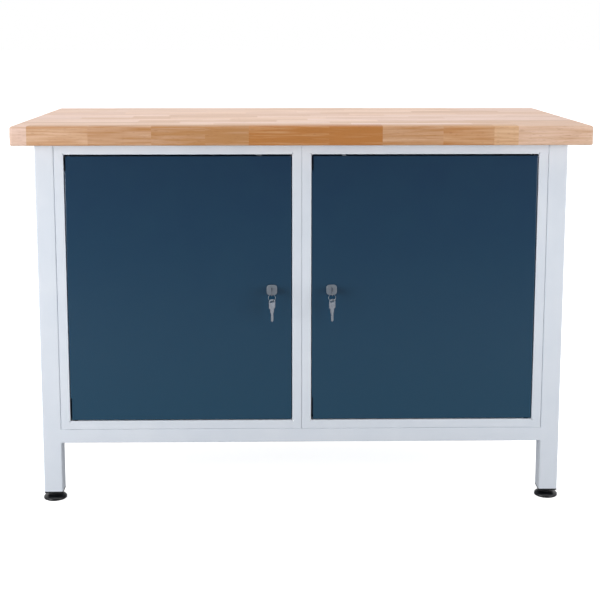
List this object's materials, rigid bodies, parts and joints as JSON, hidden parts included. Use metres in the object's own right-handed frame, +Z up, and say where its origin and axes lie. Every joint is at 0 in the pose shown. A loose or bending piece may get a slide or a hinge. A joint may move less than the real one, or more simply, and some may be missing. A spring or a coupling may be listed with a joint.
{
  "type": "workbench with cabinet doors",
  "caption": "Workbench with a thick beech worktop on a grey square-tube steel frame, with sheet-steel cabinets between the legs, dark blue hinged doors, cam locks with keys and levelling feet.",
  "frame": {"origin": "on the floor, under the middle of the worktop", "axes": "+X to the right as seen from the front, +Y to the back, +Z up; the doors face -Y"},
  "size_m": [1.2, 0.6, 0.82],
  "materials": {
    "worktop": "oiled beech staves",
    "frame_coat": "light grey powder coat",
    "door_coat": "dark blue powder coat",
    "plastic": "black moulded plastic",
    "steel": "zinc-plated steel",
    "nickel": "nickel-plated"
  },
  "bodies": {
    "bench": {"worktop": "worktop", "leg_front_left": "frame_coat", "insert_front_left": "plastic", "leg_front_right": "frame_coat", "insert_front_right": "plastic", "leg_rear_left": "frame_coat", "insert_rear_left": "plastic", "leg_rear_right": "frame_coat", "insert_rear_right": "plastic", "rail_bottom_front": "frame_coat", "rail_bottom_rear": "frame_coat", "rail_top_rear": "frame_coat", "rail_bottom_left": "frame_coat", "rail_bottom_right": "frame_coat", "rail_top_left": "frame_coat", "rail_top_right": "frame_coat", "left_side_panel_outer": "frame_coat", "left_side_panel_inner": "frame_coat", "left_top_panel": "frame_coat", "left_bottom_panel": "frame_coat", "left_back_panel": "frame_coat", "left_shelf": "frame_coat", "left_shelf_support_outer": "frame_coat", "left_shelf_support_inner": "frame_coat", "left_hinge_pin_upper": "steel", "left_hinge_pin_lower": "steel", "right_side_panel_outer": "frame_coat", "right_side_panel_inner": "frame_coat", "right_top_panel": "frame_coat", "right_bottom_panel": "frame_coat", "right_back_panel": "frame_coat", "right_shelf": "frame_coat", "right_shelf_support_outer": "frame_coat", "right_shelf_support_inner": "frame_coat", "right_hinge_pin_upper": "steel", "right_hinge_pin_lower": "steel"},
    "left_door": {"left_door_panel": "door_coat", "left_door_stiffener": "door_coat", "left_lock_body": "nickel", "left_lock_nut": "steel"},
    "left_lock_turning": {"left_lock_plug": "nickel", "left_lock_cam": "steel"},
    "left_key_in_lock": {"left_key": "nickel"},
    "left_ring": {"left_key_ring": "steel"},
    "left_spare": {"left_spare_key": "nickel"},
    "right_door": {"right_door_panel": "door_coat", "right_door_stiffener": "door_coat", "right_lock_body": "nickel", "right_lock_nut": "steel"},
    "right_lock_turning": {"right_lock_plug": "nickel", "right_lock_cam": "steel"},
    "right_key_in_lock": {"right_key": "nickel"},
    "right_ring": {"right_key_ring": "steel"},
    "right_spare": {"right_spare_key": "nickel"},
    "level_foot_front_left": {"foot_front_left": "plastic"},
    "level_foot_front_right": {"foot_front_right": "plastic"},
    "level_foot_rear_left": {"foot_rear_left": "plastic"},
    "level_foot_rear_right": {"foot_rear_right": "plastic"}
  },
  "joints": [
    {"name": "left_door_swing", "type": "hinge", "parent": "bench", "child": "left_door", "pos_m": [-0.4881, -0.244, 0.181], "axis": [0, 0, -1], "range_deg": [0, 110]},
    {"name": "left_lock_turn", "type": "hinge", "parent": "left_door", "child": "left_lock_turning", "pos_m": [-0.06365, -0.25, 0.46725], "axis": [0, -1, 0], "range_deg": [0, 90]},
    {"name": "left_key_pull", "type": "slide", "parent": "left_lock_turning", "child": "left_key_in_lock", "axis": [0, -1, 0], "range_m": [0, 0.03]},
    {"name": "left_ring_hang", "type": "hinge", "parent": "left_key_in_lock", "child": "left_ring", "pos_m": [-0.06365, -0.2783, 0.46055], "axis": [0, -1, 0], "range_deg": [-90, 0]},
    {"name": "left_spare_swing", "type": "hinge", "parent": "left_ring", "child": "left_spare", "pos_m": [-0.06365, -0.2783, 0.44815], "axis": [1, 0, 0], "range_deg": [-30, 20]},
    {"name": "right_door_swing", "type": "hinge", "parent": "bench", "child": "right_door", "pos_m": [0.4881, -0.244, 0.181], "axis": [0, 0, 1], "range_deg": [0, 110]},
    {"name": "right_lock_turn", "type": "hinge", "parent": "right_door", "child": "right_lock_turning", "pos_m": [0.06365, -0.25, 0.46725], "axis": [0, 1, 0], "range_deg": [0, 90]},
    {"name": "right_key_pull", "type": "slide", "parent": "right_lock_turning", "child": "right_key_in_lock", "axis": [0, -1, 0], "range_m": [0, 0.03]},
    {"name": "right_ring_hang", "type": "hinge", "parent": "right_key_in_lock", "child": "right_ring", "pos_m": [0.06365, -0.2783, 0.46055], "axis": [0, 1, 0], "range_deg": [-90, 0]},
    {"name": "right_spare_swing", "type": "hinge", "parent": "right_ring", "child": "right_spare", "pos_m": [0.06365, -0.2783, 0.44815], "axis": [1, 0, 0], "range_deg": [-30, 20]},
    {"name": "thread_travel_front_left", "type": "slide", "parent": "bench", "child": "level_foot_front_left", "axis": [0, 0, -1], "range_m": [-0.005, 0]},
    {"name": "thread_travel_front_right", "type": "slide", "parent": "bench", "child": "level_foot_front_right", "axis": [0, 0, -1], "range_m": [-0.005, 0]},
    {"name": "thread_travel_rear_left", "type": "slide", "parent": "bench", "child": "level_foot_rear_left", "axis": [0, 0, -1], "range_m": [-0.005, 0]},
    {"name": "thread_travel_rear_right", "type": "slide", "parent": "bench", "child": "level_foot_rear_right", "axis": [0, 0, -1], "range_m": [-0.005, 0]}
  ],
  "couplings": [
    {"joint": "left_ring_hang", "follows": "left_lock_turn", "ratio": -1},
    {"joint": "right_ring_hang", "follows": "right_lock_turn", "ratio": -1}
  ]
}
